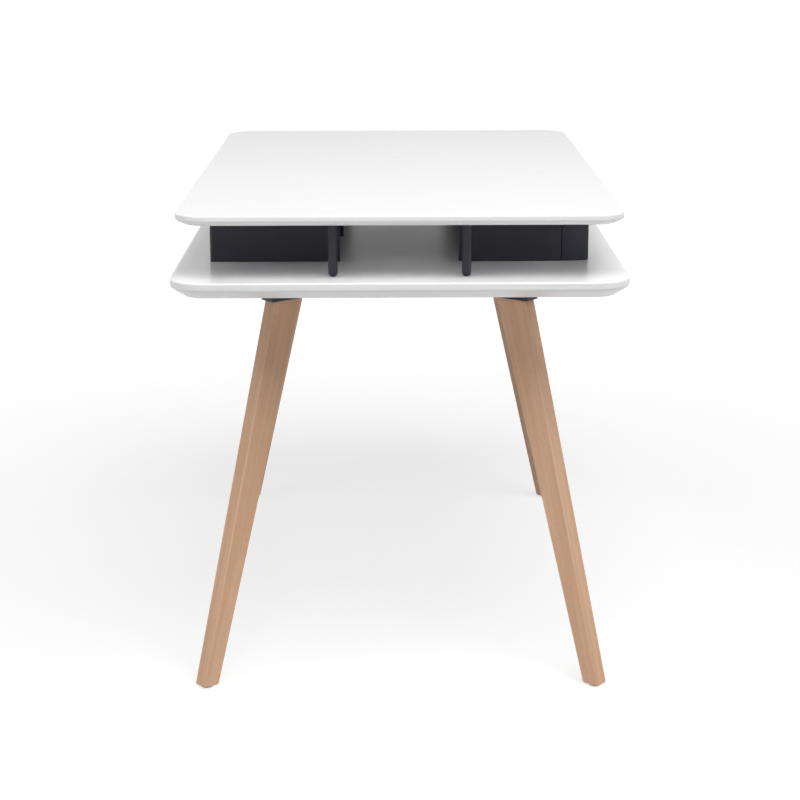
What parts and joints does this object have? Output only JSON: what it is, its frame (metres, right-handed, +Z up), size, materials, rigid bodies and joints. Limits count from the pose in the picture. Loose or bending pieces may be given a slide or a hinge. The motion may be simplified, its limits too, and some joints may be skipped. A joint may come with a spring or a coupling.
{
  "type": "desk",
  "caption": "Writing desk with a white top above a white shelf, black drawers and open pigeonholes between them, and splayed tapered beech legs.",
  "frame": {"origin": "on the floor, under the middle of the desk", "axes": "+X along the desk's length, to the right of a person sitting at the drawers; +Y away from that person; +Z up"},
  "size_m": [1.17, 0.686, 0.75],
  "materials": {
    "white_lacquer": "satin lacquer on fibreboard",
    "black_lacquer": "satin lacquer on fibreboard",
    "beech": "clear matt lacquer",
    "drawer_ply": "white oil on birch plywood",
    "black_steel": "powder coat",
    "zinc_steel": "zinc plate",
    "runner_nylon": "matte",
    "glide_nylon": "matte"
  },
  "bodies": {
    "desk": {"desk_top": "white_lacquer", "lower_shelf": "white_lacquer", "leg_front_left": "beech", "leg_mount_front_left": "black_steel", "post_front_left": "black_steel", "leg_front_right": "beech", "leg_mount_front_right": "black_steel", "post_front_right": "black_steel", "leg_rear_left": "beech", "leg_mount_rear_left": "black_steel", "post_rear_left": "black_steel", "leg_rear_right": "beech", "leg_mount_rear_right": "black_steel", "post_rear_right": "black_steel", "centre_panel": "black_lacquer", "front_end_panel_left": "black_lacquer", "rear_end_panel_left": "black_lacquer", "divider_left": "black_lacquer", "runner_left_inner": "runner_nylon", "runner_left_outer": "runner_nylon", "front_end_panel_right": "black_lacquer", "rear_end_panel_right": "black_lacquer", "divider_right": "black_lacquer", "runner_right_inner": "runner_nylon", "runner_right_outer": "runner_nylon", "leg_studs": "zinc_steel", "mount_screws": "zinc_steel", "foot_glides": "glide_nylon"},
    "drawer_left": {"drawer_front_left": "black_lacquer", "drawer_side_left_inner": "drawer_ply", "drawer_side_left_outer": "drawer_ply", "drawer_back_left": "drawer_ply", "drawer_base_left": "drawer_ply"},
    "drawer_right": {"drawer_front_right": "black_lacquer", "drawer_side_right_inner": "drawer_ply", "drawer_side_right_outer": "drawer_ply", "drawer_back_right": "drawer_ply", "drawer_base_right": "drawer_ply"}
  },
  "joints": [
    {"name": "drawer_left_slide", "type": "slide", "parent": "desk", "child": "drawer_left", "axis": [0, -1, 0], "range_m": [0, 0.12]},
    {"name": "drawer_right_slide", "type": "slide", "parent": "desk", "child": "drawer_right", "axis": [0, -1, 0], "range_m": [0, 0.12]}
  ]
}
